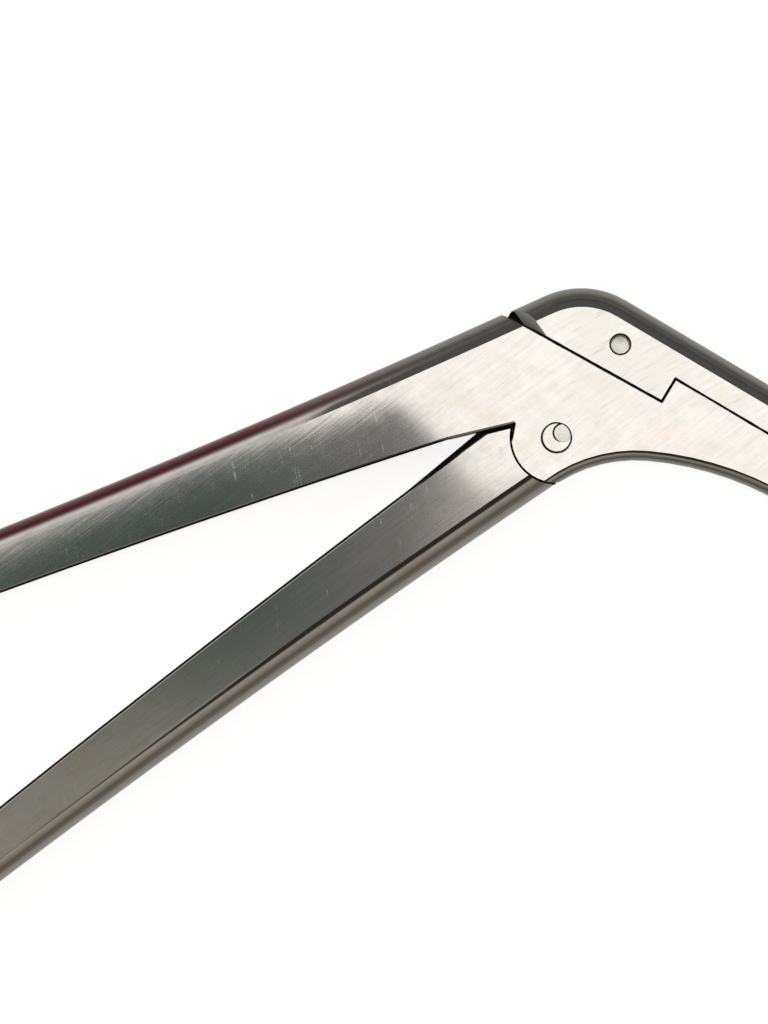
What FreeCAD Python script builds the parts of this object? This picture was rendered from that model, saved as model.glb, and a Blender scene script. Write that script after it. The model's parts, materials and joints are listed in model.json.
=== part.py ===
"""Bone rongeur with ring handles, a sliding shaft and hinged cup jaws, closed, lying on its side face.

The origin is on the handle pivot's axis, at the side face that the instrument rests on. +Z runs along the
pivots through the thickness, +X along the shank towards the jaws, and +Y towards the slider's back.
Lengths are in millimetres and angles in degrees.
"""

import FreeCAD, Part
import math
import os

import Sketcher

Vector = FreeCAD.Vector

SIZES = [
    # Thickness and the clearances that tie neighbours together
    ("thickness", "5.0", "side face to side face of handles and head"),
    ("seam_gap", "0.2", "dark seam between the slider and the frame"),
    ("step_gap", "0.25", "slider's step face to the frame's riser, jaws closed"),
    ("shoulder_gap", "0.22", "frame cheek to the front handle's shoulder"),
    ("swing_gap", "0.45", "tang to the walls of the slots that it swings in"),
    ("fork_room", "1.0", "further room for the tang's slant in the slider's fork"),
    ("leaf_gap", "0.1", "each side of a tang, tab or lug in its slot"),
    ("seat_clearance", "0.02", "pin in the cheeks that hold it, on the radius"),
    ("turn_clearance", "0.05", "pin in the piece that turns on it, on the radius"),
    ("edge_break", "0.12", "broken edge at pin ends"),
    ("overrun", "1.0", "how far a cut runs on past the face that it leaves by"),
    ("inner_edge_round", "0.3", "rounded long edges on the handles' inner sides"),
    # Box joint and handle pivot
    ("pivot_radius", "1.5", "handle pivot pin"),
    ("cheek_radius", "4.5", "frame cheeks around the pivot"),
    ("cheek_end", "56", "where the cheek's arc meets the throat, below +X"),
    ("notch_angle", "166.7", "where the cheek's arc meets the rear handle, below +X"),
    ("boss_radius", "3.7", "tang's round part at the pivot"),
    ("leaf_thickness", "1.7", "front handle's tang"),
    ("dimple_radius", "0.92", "eccentric recess in the pivot pin's end"),
    ("dimple_depth", "0.16", "its depth at the deep side"),
    ("dimple_x", "0.27", "middle of the recess"),
    ("dimple_y", "0.7", "same place"),
    ("dimple_tilt", "5", "slope of the recess floor"),
    ("dimple_heading", "210", "towards the recess's deep side, from +X"),
    ("opening", "15", "how far the front handle swings open"),
    ("mortise_reach", "2.4", "how far the frame's slot runs on behind the knee"),
    # Throat and shank of the frame
    ("throat_entry", "62.9", "direction of the throat where it leaves the cheek"),
    ("throat_middle", "25.6", "its direction where the two arcs join"),
    ("throat_radius", "14.26", "arc next to the cheek"),
    ("shank_floor", "5.87", "underside of the shank"),
    ("taper_start", "30", "where the shank begins to taper"),
    ("tip_floor", "7.2", "underside of the shank at the jaws"),
    ("side_taper", "0.5", "what each side face draws in by, up to the jaws"),
    ("floor_round", "1.0", "rounding along the underside"),
    # Seam between slider and frame
    ("heel_x", "-10.33", "rear tip of the slider"),
    ("heel_seam", "8.05", "slider's underside at its rear tip"),
    ("step_x", "7.12", "slider's step face"),
    ("step_seam", "8.55", "slider's underside behind the step"),
    ("front_seam", "11.2", "slider's underside in front of the step"),
    ("slider_top", "15.48", "slider's back along the shank"),
    ("tip_top", "14.7", "slider's back at the jaws"),
    ("slider_end", "140.2", "front end of the slider's underside"),
    ("slider_lean", "1.2", "how far its front end leans back"),
    ("bend_angle", "55", "slope of the slider's back behind the bend"),
    ("bend_corner_x", "-5.58", "where that slope would meet the straight back"),
    ("bend_radius", "8.8", "outside of the bend"),
    ("back_round", "2.0", "rounding along the backs of slider and rear handle"),
    ("bevel_start_x", "-7.94", "slider's bevel below its rear tip, where it leaves the side face"),
    ("bevel_start_y", "9.06", "same place"),
    ("bevel_end_x", "-5.6", "front end of that bevel at the slider's underside"),
    ("bevel_depth", "1.3", "what it takes off the side face at its deepest"),
    ("bevel_slope", "40", "how far it leans from upright"),
    # Rear handle, from the head to the cut where its ring piece begins
    ("back_root_x", "-11.0", "rear end of the frame's deck"),
    ("knuckle_x", "-9.3", "where the inner edge turns into the handle"),
    ("knuckle_y", "-5.8", "same place"),
    ("rear_cut_x", "-52.2", "middle of the rear handle's end"),
    ("rear_cut_y", "-52.2", "same place"),
    ("rear_heading", "231.3", "direction of the rear handle at its end"),
    ("rear_back_bow", "0.54", "bow of the back edge"),
    ("rear_inner_bow", "0.4", "bow of the inner edge"),
    ("bar_width", "5.8", "both handles at their ring end"),
    # Front handle
    ("tip_angle", "160.1", "where the shoulder's arc meets the stop edge"),
    ("shoulder_end", "61", "where the shoulder's arc meets the outer edge, below +X"),
    ("knee_x", "-6.66", "end of the stop edge"),
    ("knee_y", "-3.8", "same place"),
    ("front_cut_x", "-29.45", "middle of the front handle's end"),
    ("front_cut_y", "-69.15", "same place"),
    ("front_heading", "247.6", "direction of the front handle at its end"),
    ("front_outer_bow", "0.5", "bow of the outer edge"),
    ("front_inner_bow", "0.33", "bow of the inner edge"),
    ("outer_round", "2.3", "rounding along the front handle's outer edge"),
    ("rib_start_x", "-10.9", "lower end of the rib along the inner edge"),
    ("rib_start_y", "-14.3", "same place"),
    ("rib_rise", "0.45", "how far the rib stands out of the inner edge"),
    # Finger rings
    ("ring_bore_radius", "11.5", "opening for thumb and finger"),
    ("ring_wall", "3.6", "ring section across"),
    ("ring_round", "1.6", "rounding of the ring section"),
    ("ring_reach", "21", "handle end to ring centre"),
    ("ring_offset", "1.2", "ring centre outwards of the handle's centre line"),
    # Slider drive
    ("drive_x", "0.74", "drive pin"),
    ("drive_y", "11.26", "same place"),
    ("drive_radius", "1.05", "drive pin"),
    ("drive_dome", "0.03", "dome on the drive pin's ends"),
    ("drive_play", "0.25", "length of the tang's slot beyond the pin"),
    ("drive_side_play", "0.1", "side clearance of the pin in the tang's slot"),
    ("tang_end_radius", "2.15", "tang around its slot"),
    # Slider guides
    ("lug_length", "8", "each guide lug"),
    ("lug_neck", "1.2", "width of its neck"),
    ("lug_head", "2.4", "width of its head"),
    ("lug_neck_depth", "1.3", "slider's underside to the head"),
    ("lug_head_depth", "1.0", "height of the head"),
    ("lug_run", "4.5", "room behind a lug for the slider's stroke"),
    ("lug_front_room", "0.5", "room in front of a lug, jaws closed"),
    ("lug_entry", "8.7", "drop-in pocket behind the guide slot"),
    ("rear_lug_x", "21.5", "rear end of the rear lug"),
    ("front_lug_x", "117.5", "rear end of the front lug"),
    # Jaws
    ("bite_drop", "0.3", "slider's underside to where the jaws meet"),
    ("bite_gap", "0.1", "between the closed jaws"),
    ("jaw_gap", "0.5", "slider's front end to the upper jaw"),
    ("jaw_end", "150.4", "front of both jaws"),
    ("lower_nose_depth", "1.2", "lower jaw at its front, down from the bite"),
    ("jaw_root_x", "139", "where the underside turns up to the jaw"),
    ("upper_nose_rise", "1.2", "upper jaw at its front, up from the bite"),
    ("upper_root_rise", "3.7", "upper jaw at its rear, up from the bite"),
    ("jaw_lean", "1.0", "how far the upper jaw's rear face leans forward"),
    ("upper_jaw_radius", "35", "arc of the upper jaw's top"),
    ("nose_round", "1.55", "rounding of both noses, seen from above"),
    ("jaw_round", "0.9", "rounding along the upper jaw's top"),
    ("cup_radius", "1.3", "spoon in each jaw"),
    ("cup_start", "142.6", "rear end of the spoon"),
    ("cup_wall", "0.7", "front wall of the spoon"),
    ("jaw_pivot_x", "137", "jaw pivot"),
    ("jaw_pivot_y", "9.3", "same place"),
    ("jaw_pivot_radius", "0.75", "jaw pivot pin"),
    ("link_angle", "62", "jaw pivot to link pin, above +X, jaws closed"),
    ("link_arm", "3.12", "jaw pivot to link pin, jaws closed"),
    ("link_radius", "0.6", "link pin"),
    ("link_play", "0.37", "what the jaw's slot gives as the arm passes upright"),
    ("tab_radius", "1.25", "jaw tab around its two pins"),
    ("tab_thickness", "1.6", "jaw tab"),
    ("tab_sweep", "1.2", "further room behind the tab as the jaw opens"),
    ("tab_overlap", "1.0", "how far the tab runs on inside the jaw"),
    ("tab_front_rise", "2.0", "its top there, up from the bite"),
    ("tab_under_angle", "60", "where the tab's underside leaves its round end, below +X"),
]


class Size:
    """A length or an angle that knows its number and how a spreadsheet expression writes it."""

    def __init__(self, number, text=None):
        self.number = float(number)
        self.text = text or f"({float(number)!r})"

    def __add__(self, other):
        other = as_size(other)
        return Size(self.number + other.number, f"({self.text} + {other.text})")

    def __sub__(self, other):
        other = as_size(other)
        return Size(self.number - other.number, f"({self.text} - {other.text})")

    def __mul__(self, other):
        other = as_size(other)
        return Size(self.number * other.number, f"({self.text} * {other.text})")

    def __truediv__(self, other):
        other = as_size(other)
        return Size(self.number / other.number, f"({self.text} / {other.text})")

    def __neg__(self):
        return Size(-self.number, f"(0 - {self.text})")

    __radd__ = __add__
    __rmul__ = __mul__


def as_size(value):
    return value if isinstance(value, Size) else Size(value)


def sine(angle):
    return Size(math.sin(math.radians(angle.number)), f"sin({angle.text})")


def cosine(angle):
    return Size(math.cos(math.radians(angle.number)), f"cos({angle.text})")


def root(value):
    return Size(math.sqrt(value.number), f"sqrt({value.text})")


def direction(angle):
    return cosine(angle), sine(angle)


def span(a, b):
    """Distance between two corners."""
    across = b[0] - a[0]
    up = b[1] - a[1]
    return root(across * across + up * up)


def bowed(a, b, bow):
    """Radius of the flat arc from a to b that bows out by the given amount in its middle."""
    chord = span(a, b)
    return (chord * chord / 4 + bow * bow) / (bow * 2)


def tangent_radius(a, b, heading):
    """Radius of the arc that leaves a in the given direction and ends at b."""
    along, up = heading
    chord = span(a, b)
    offset = (b[1] - a[1]) * along - (b[0] - a[0]) * up
    return chord * chord / (offset * 2)


def tangent_heading(a, b, heading):
    """Direction in which that arc arrives at b."""
    along, up = heading
    across = b[0] - a[0]
    rise = b[1] - a[1]
    square = across * across + rise * rise
    cos_double = (across * across - rise * rise) / square
    sin_double = across * rise * 2 / square
    return cos_double * along + sin_double * up, sin_double * along - cos_double * up


document = FreeCAD.newDocument("rongeur")
sheet = document.addObject("Spreadsheet::Sheet", "sizes")
for row, (alias, number, note) in enumerate(SIZES, start=1):
    sheet.set(f"A{row}", alias)
    sheet.set(f"B{row}", number)
    sheet.set(f"C{row}", note)
    sheet.setAlias(f"B{row}", alias)
document.recompute()


def size(alias):
    return Size(sheet.get(alias), f"sizes.{alias}")


def keep(alias, value):
    """Gives a worked-out value its own cell, so that the expressions that use it stay short."""
    row = len(SIZES) + len(kept) + 1
    kept.append(alias)
    sheet.set(f"A{row}", alias)
    sheet.set(f"B{row}", "=" + value.text.replace("sizes.", ""))
    sheet.setAlias(f"B{row}", alias)
    return Size(value.number, f"sizes.{alias}")


kept = []
ZERO = Size(0)
THICKNESS = size("thickness")
MIDDLE = THICKNESS / 2
PIVOT = (ZERO, ZERO)
ALONG = (Size(1), ZERO)


def new_body(label):
    body = document.addObject("PartDesign::Body", label)
    body.Label = label
    return body


def new_sketch(body, name, role, shift=(ZERO, ZERO, ZERO)):
    """A sketch on one of the body's own origin planes, shifted within that plane's frame."""
    sketch = body.newObject("Sketcher::SketchObject", name)
    plane = [item for item in body.Origin.OriginFeatures if item.Role == role][0]
    sketch.AttachmentSupport = [(plane, "")]
    sketch.MapMode = "FlatFace"
    for letter, distance in zip("xyz", shift):
        sketch.setExpression(f"AttachmentOffset.Base.{letter}", distance.text)
    return sketch


def bind(sketch, constraint, value):
    index = sketch.addConstraint(constraint)
    sketch.setExpression(f"Constraints[{index}]", value.text)


def fix_point(sketch, edge, end, corner):
    """Holds one end of an edge, or a circle's centre, at its distances from the sketch's origin."""
    bind(sketch, Sketcher.Constraint("DistanceX", -1, 1, edge, end, corner[0].number), corner[0])
    bind(sketch, Sketcher.Constraint("DistanceY", -1, 1, edge, end, corner[1].number), corner[1])


def draw_loop(sketch, corners):
    """Draws a closed outline.

    A corner is (x, y), or (x, y, radius, turn) where the edge to the next corner is an arc that turns
    left (turn 1) or right (turn -1) and is less than half a circle.
    """
    edges = []
    for position, corner in enumerate(corners):
        following = corners[(position + 1) % len(corners)]
        start = Vector(corner[0].number, corner[1].number, 0)
        end = Vector(following[0].number, following[1].number, 0)
        if len(corner) == 2:
            index = sketch.addGeometry(Part.LineSegment(start, end), False)
            edges.append((index, 1, 2))
            continue
        radius, turn = corner[2].number, corner[3]
        first, last = (start, end) if turn > 0 else (end, start)
        chord = last - first
        depth = radius - math.sqrt(radius * radius - chord.Length ** 2 / 4)
        outward = Vector(chord.y, -chord.x, 0).normalize()
        index = sketch.addGeometry(Part.Arc(first, (first + last) / 2 + outward * depth, last), False)
        edges.append((index, 1, 2) if turn > 0 else (index, 2, 1))
    for position, (edge, start, end) in enumerate(edges):
        following, its_start, _ = edges[(position + 1) % len(edges)]
        sketch.addConstraint(Sketcher.Constraint("Coincident", edge, end, following, its_start))
    for (edge, start, _), corner in zip(edges, corners):
        fix_point(sketch, edge, start, corner)
        if len(corner) == 4:
            bind(sketch, Sketcher.Constraint("Radius", edge, corner[2].number), corner[2])


def split_arc(name, a, b, radius, turn, pieces=8):
    """Corners of a long flat arc from a to b, in pieces short enough for an even rounding along them."""
    a = keep(f"{name}_from_x", a[0]), keep(f"{name}_from_y", a[1])
    b = keep(f"{name}_to_x", b[0]), keep(f"{name}_to_y", b[1])
    chord = keep(f"{name}_chord", span(a, b))
    radius = keep(f"{name}_radius", radius)
    bow = keep(f"{name}_rise", radius - root(radius * radius - chord * chord / 4))
    across, up = b[0] - a[0], b[1] - a[1]
    corners = []
    for step in range(pieces):
        share = step / pieces
        rise = bow * (share * (1 - share) * 4 * turn) / chord
        corners.append((a[0] + across * share + up * rise, a[1] + up * share - across * rise, radius, turn))
    return corners


def pairs_along(corners, end):
    """The pairs of neighbouring corners along a split arc that stops at end."""
    return list(zip(corners, corners[1:] + [end]))


def draw_circle(sketch, centre, radius):
    circle = Part.Circle(Vector(centre[0].number, centre[1].number, 0), Vector(0, 0, 1), radius.number)
    index = sketch.addGeometry(circle, False)
    fix_point(sketch, index, 3, centre)
    bind(sketch, Sketcher.Constraint("Radius", index, radius.number), radius)


def draw_slot(sketch, start, heading, length, radius):
    """Draws a slot with round ends whose first end is centred on start."""
    along, up = heading
    end = (start[0] + along * length, start[1] + up * length)

    def corner(centre, ahead, left):
        return (
            centre[0] + along * radius * ahead - up * radius * left,
            centre[1] + up * radius * ahead + along * radius * left,
        )

    quarter = (radius, 1)
    draw_loop(sketch, [
        corner(start, 0, -1),
        corner(end, 0, -1) + quarter,
        corner(end, 1, 0) + quarter,
        corner(end, 0, 1),
        corner(start, 0, 1) + quarter,
        corner(start, -1, 0) + quarter,
    ])


def rectangle(low_x, low_y, high_x, high_y):
    return [(low_x, low_y), (high_x, low_y), (high_x, high_y), (low_x, high_y)]


def add_pad(body, sketch, length, centred=False):
    feature = body.newObject("PartDesign::Pad", f"{sketch.Name}_pad")
    feature.Profile = sketch
    if centred:
        feature.SideType = "Symmetric"
    feature.setExpression("Length", length.text)
    return feature


def add_cut(body, sketch, length):
    """Cuts a pocket of the given full length, half of it to each side of the sketch."""
    feature = body.newObject("PartDesign::Pocket", f"{sketch.Name}_cut")
    feature.Profile = sketch
    feature.SideType = "Symmetric"
    feature.setExpression("Length", length.text)
    return feature


def add_turned(body, kind, sketch, axis):
    feature = body.newObject(f"PartDesign::{kind}", f"{sketch.Name}_turned")
    feature.Profile = sketch
    feature.ReferenceAxis = (sketch, [axis])
    feature.Angle = 360
    return feature


def round_edges(body, name, pairs, radius, slack=0.01):
    """Rounds the edges at both side faces that join the given pairs of corners, seen from the side.

    The slack is for a second corner that an earlier rounding has moved. Tangent edges follow by themselves.
    """
    document.recompute()
    base = body.Tip
    half = THICKNESS.number / 2
    least = half - size("side_taper").number - 0.2
    chosen = []
    for index, edge in enumerate(base.Shape.Edges, start=1):
        ends = [edge.Vertexes[0].Point, edge.Vertexes[-1].Point]
        if any(abs(point.z - half) < least for point in ends):
            continue
        if any(joins(ends, a, b, slack) or joins(ends[::-1], a, b, slack) for a, b in pairs):
            chosen.append(f"Edge{index}")
    if len(chosen) != 2 * len(pairs):
        raise RuntimeError(f"{name}: {len(chosen)} edges found, {2 * len(pairs)} expected")
    feature = body.newObject("PartDesign::Fillet", name)
    feature.Base = (base, chosen)
    feature.setExpression("Radius", radius.text)
    return feature


def joins(ends, a, b, slack):
    gaps = [math.hypot(point.x - corner[0].number, point.y - corner[1].number)
            for point, corner in zip(ends, (a, b))]
    return gaps[0] < 0.01 and gaps[1] < slack


def taper_radius():
    reach = size("jaw_end") + size("overrun") - size("taper_start")
    drawn_in = size("side_taper")
    return (reach * reach + drawn_in * drawn_in) / (drawn_in * 2)


def side_draw(x):
    """How far a side face has drawn in at x."""
    reach = x - size("taper_start")
    radius = taper_radius()
    return radius - root(radius * radius - reach * reach)


def taper_sides(body):
    """Draws both side faces in towards the jaws, along a flat arc that starts at the taper."""
    start = size("taper_start")
    end = size("jaw_end") + size("overrun")
    drawn_in = size("side_taper")
    radius = taper_radius()
    depth = size("slider_top") * 4
    above = THICKNESS + size("overrun")
    below = -size("overrun")
    far = new_sketch(body, f"{body.Name}_far_taper", "XZ_Plane")
    draw_loop(far, [(start, below), (end, below), (end, drawn_in, radius, -1), (start, ZERO)])
    add_cut(body, far, depth)
    near = new_sketch(body, f"{body.Name}_near_taper", "XZ_Plane")
    draw_loop(near, [
        (start, THICKNESS, radius, -1), (end, THICKNESS - drawn_in), (end, above), (start, above),
    ])
    add_cut(body, near, depth)


# Places that more than one piece needs

slot_width = size("leaf_thickness") + size("leaf_gap") * 2
tab_slot_width = size("tab_thickness") + size("leaf_gap") * 2
rear_deck = size("heel_seam") - size("seam_gap")
step_deck = size("step_seam") - size("seam_gap")
front_deck = size("front_seam") - size("seam_gap")
riser_x = size("step_x") + size("step_gap")
drive_pin = (size("drive_x"), size("drive_y"))
jaw_pivot = (size("jaw_pivot_x"), size("jaw_pivot_y"))
link_heading = direction(size("link_angle"))
link_pin = (
    jaw_pivot[0] + link_heading[0] * size("link_arm"),
    jaw_pivot[1] + link_heading[1] * size("link_arm"),
)
taper_floor = (size("taper_start"), size("shank_floor"))
jaw_root = (size("jaw_root_x"), size("tip_floor"))
bite_height = size("front_seam") - size("bite_drop")
lower_nose = (size("jaw_end"), bite_height - size("lower_nose_depth"))
lower_bite = bite_height - size("bite_gap") / 2
upper_bite = bite_height + size("bite_gap") / 2


def around_pivot(radius, angle_below):
    """A point on a circle about the handle pivot, at an angle below +X."""
    return radius * cosine(angle_below), -(radius * sine(angle_below))


def handle_end(prefix):
    """Both corners of a handle's end: on its outer side and on its inner side."""
    along, up = direction(size(f"{prefix}_heading"))
    side = Size(1) if prefix == "front" else Size(-1)
    half = size("bar_width") / 2
    middle = (size(f"{prefix}_cut_x"), size(f"{prefix}_cut_y"))
    outer = (middle[0] - up * half * side, middle[1] + along * half * side)
    inner = (middle[0] + up * half * side, middle[1] - along * half * side)
    return outer, inner


def guide_profile(neck, head, top, shoulder, bottom):
    """A T-shaped section about the middle plane, drawn in a plane across the shank."""
    return [
        (top, MIDDLE - neck / 2), (top, MIDDLE + neck / 2), (shoulder, MIDDLE + neck / 2),
        (shoulder, MIDDLE + head / 2), (bottom, MIDDLE + head / 2), (bottom, MIDDLE - head / 2),
        (shoulder, MIDDLE - head / 2), (shoulder, MIDDLE - neck / 2),
    ]


def turned(point, angle):
    along, up = direction(angle)
    return point[0] * along - point[1] * up, point[0] * up + point[1] * along


def tang_end():
    """The tang's slotted end: its direction, and its corners on the left, at the top and on the right."""
    arm = span(PIVOT, drive_pin)
    along, up = drive_pin[0] / arm, drive_pin[1] / arm
    reach = size("tang_end_radius")
    centre = (drive_pin[0] + along * size("drive_play"), drive_pin[1] + up * size("drive_play"))
    left = (centre[0] - up * reach, centre[1] + along * reach)
    top = (centre[0] + along * reach, centre[1] + up * reach)
    right = (centre[0] + up * reach, centre[1] - along * reach)
    return (along, up), left, top, right


def cut_hole(body, name, centre, radius):
    sketch = new_sketch(body, name, "XY_Plane", (ZERO, ZERO, MIDDLE))
    draw_circle(sketch, centre, radius)
    add_cut(body, sketch, THICKNESS * 2)


def cut_leaf_slot(body, name, corners, width):
    """Cuts a slot of the given width about the middle plane."""
    sketch = new_sketch(body, name, "XY_Plane", (ZERO, ZERO, MIDDLE))
    draw_loop(sketch, corners)
    add_cut(body, sketch, width)


def cut_cup(body, name, radius):
    """Hollows a jaw with a round-ended spoon about the bite line."""
    sketch = new_sketch(body, name, "XY_Plane", (ZERO, bite_height, MIDDLE))
    start = size("cup_start")
    end = size("jaw_end") - size("cup_wall")
    draw_loop(sketch, [
        (start, ZERO), (end, ZERO, radius, 1), (end - radius, radius),
        (start + radius, radius, radius, 1),
    ])
    add_turned(body, "Groove", sketch, "H_Axis")


def make_frame():
    """Rear handle, box, lower shaft and lower jaw, which are one forging."""
    body = new_body("body_frame")
    outer_end, inner_end = handle_end("rear")
    back_root = (size("back_root_x"), rear_deck)
    knuckle = (size("knuckle_x"), size("knuckle_y"))
    notch = around_pivot(size("cheek_radius"), size("notch_angle"))
    throat_start = around_pivot(size("cheek_radius"), size("cheek_end"))
    entry = direction(size("throat_entry"))
    middle = direction(size("throat_middle"))
    near_radius = size("throat_radius")
    throat_mid = (
        throat_start[0] + near_radius * (entry[1] - middle[1]),
        throat_start[1] + near_radius * (middle[0] - entry[0]),
    )
    far_radius = (size("shank_floor") - throat_mid[1]) / (Size(1) - middle[0])
    throat_end = (throat_mid[0] + far_radius * middle[1], size("shank_floor"))
    root_heading = tangent_heading(taper_floor, jaw_root, ALONG)
    back_radius = bowed(back_root, outer_end, size("rear_back_bow"))
    back = split_arc("rear_back", back_root, outer_end, back_radius, -1)
    inner_radius = bowed(knuckle, inner_end, size("rear_inner_bow"))
    inner = split_arc("rear_inner", inner_end, knuckle, inner_radius, -1)
    belly = split_arc("belly", taper_floor, jaw_root, tangent_radius(taper_floor, jaw_root, ALONG), 1)

    outline = new_sketch(body, "frame_outline", "XY_Plane")
    draw_loop(outline, [
        *back,
        outer_end,
        *inner,
        knuckle,
        notch + (size("cheek_radius"), 1),
        throat_start + (near_radius, -1),
        throat_mid + (far_radius, -1),
        throat_end,
        *belly,
        jaw_root + (tangent_radius(jaw_root, lower_nose, root_heading), 1),
        lower_nose,
        (size("jaw_end"), lower_bite),
        (size("slider_end"), lower_bite),
        (size("slider_end"), front_deck),
        (riser_x, front_deck),
        (riser_x, step_deck),
    ])
    add_pad(body, outline, THICKNESS)
    taper_sides(body)
    nose = [(lower_nose, (size("jaw_end"), lower_bite))]
    round_edges(body, "lower_nose_rounding", nose, size("nose_round"))
    underside = [(throat_start, throat_mid), (throat_mid, throat_end), (throat_end, taper_floor)]
    underside += pairs_along(belly, jaw_root)
    round_edges(body, "underside_rounding", underside, size("floor_round"))
    round_edges(body, "back_rounding", pairs_along(back, outer_end), size("back_round"))
    inner_edges = pairs_along(inner, knuckle) + [(knuckle, notch)]
    round_edges(body, "inner_rounding", inner_edges, size("inner_edge_round"))

    _, left, _, right = tang_end()
    gap = size("swing_gap")
    above = rear_deck + size("overrun")
    below = size("knuckle_y") * 2
    rear_x = turned(left, size("opening"))[0] - gap
    low_x = size("knee_x") - size("mortise_reach")
    boss_x = size("boss_radius") + gap
    cut_leaf_slot(body, "tang_mortise", [
        (rear_x, above), (rear_x, ZERO), (low_x, size("knee_y")), (low_x, below),
        (boss_x, below), (boss_x, ZERO), (right[0] + gap, step_deck + size("overrun")),
    ], slot_width)
    cut_hole(body, "pivot_hole", PIVOT, size("pivot_radius") + size("seat_clearance"))
    for place in ("rear", "front"):
        cut_guide(body, place)
    tab_floor = jaw_pivot[1] - size("tab_radius") - size("leaf_gap")
    tab_rear = jaw_pivot[0] - size("tab_radius") - size("tab_sweep")
    tab_front = tab_front_x + size("leaf_gap")
    slot = rectangle(tab_rear, tab_floor, tab_front, front_deck + size("overrun"))
    cut_leaf_slot(body, "tab_mortise", slot, tab_slot_width)
    cut_hole(body, "jaw_pivot_hole", jaw_pivot, size("jaw_pivot_radius") + size("seat_clearance"))
    cut_cup(body, "lower_cup", size("cup_radius"))
    return body


def cut_guide(body, place):
    """One guide slot for a lug of the slider, with the pocket behind it that the lug drops into."""
    gap = size("leaf_gap")
    lug = size(f"{place}_lug_x")
    rear = lug - size("lug_run")
    front = lug + size("lug_length") + size("lug_front_room")
    shoulder = size("front_seam") - size("lug_neck_depth") + gap
    bottom = shoulder - size("lug_head_depth") - gap * 2
    above = front_deck + size("overrun")
    neck = size("lug_neck") + gap * 2
    head = size("lug_head") + gap * 2
    slot = new_sketch(body, f"{place}_guide_slot", "YZ_Plane", (ZERO, ZERO, (rear + front) / 2))
    draw_loop(slot, guide_profile(neck, head, above, shoulder, bottom))
    add_cut(body, slot, front - rear)
    middle = rear - size("lug_entry") / 2
    pocket = new_sketch(body, f"{place}_drop_in", "YZ_Plane", (ZERO, ZERO, middle))
    draw_loop(pocket, rectangle(bottom, MIDDLE - head / 2, above, MIDDLE + head / 2))
    add_cut(body, pocket, size("lug_entry"))


def make_front_handle():
    """Front handle with the tang that passes through the box and drives the slider."""
    body = new_body("front_handle")
    outer_end, inner_end = handle_end("front")
    shoulder_radius = size("cheek_radius") + size("shoulder_gap")
    tip = around_pivot(shoulder_radius, size("tip_angle"))
    corner = around_pivot(shoulder_radius, size("shoulder_end"))
    knee = (size("knee_x"), size("knee_y"))
    outer_radius = bowed(corner, outer_end, size("front_outer_bow"))
    outer = split_arc("front_outer", corner, outer_end, outer_radius, 1)
    inner_radius = bowed(inner_end, knee, size("front_inner_bow"))
    inner = split_arc("front_inner", inner_end, knee, inner_radius, -1)
    outline = new_sketch(body, "handle_outline", "XY_Plane")
    draw_loop(outline, [
        tip + (shoulder_radius, 1),
        *outer,
        outer_end,
        *inner,
        knee,
    ])
    add_pad(body, outline, THICKNESS)
    round_edges(body, "outer_rounding", pairs_along(outer, outer_end), size("outer_round"))
    round_edges(body, "inner_side_rounding", pairs_along(inner, knee), size("inner_edge_round"))

    heading, left, top, right = tang_end()
    boss = size("boss_radius")
    boss_low = around_pivot(boss, size("shoulder_end"))
    edge = span((size("rib_start_x"), size("rib_start_y")), knee)
    rise = size("rib_rise")
    rib_top = (
        knee[0] - (knee[1] - size("rib_start_y")) / edge * rise,
        knee[1] + (knee[0] - size("rib_start_x")) / edge * rise,
    )
    tang = new_sketch(body, "tang_outline", "XY_Plane", (ZERO, ZERO, MIDDLE))
    draw_loop(tang, [
        (size("rib_start_x"), size("rib_start_y")),
        rib_top,
        (-boss, ZERO),
        left + (size("tang_end_radius"), -1),
        top + (size("tang_end_radius"), -1),
        right,
        (boss, ZERO, boss, -1),
        boss_low,
        (ZERO, size("knee_y") * 2),
        (size("knee_x"), size("rib_start_y")),
    ])
    add_pad(body, tang, size("leaf_thickness"), centred=True)
    cut_hole(body, "tang_pivot_hole", PIVOT, size("pivot_radius") + size("turn_clearance"))
    slot = new_sketch(body, "drive_slot", "XY_Plane", (ZERO, ZERO, MIDDLE))
    draw_slot(slot, drive_pin, heading, size("drive_play"), size("drive_radius") + size("drive_side_play"))
    add_cut(body, slot, THICKNESS)
    return body


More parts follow.
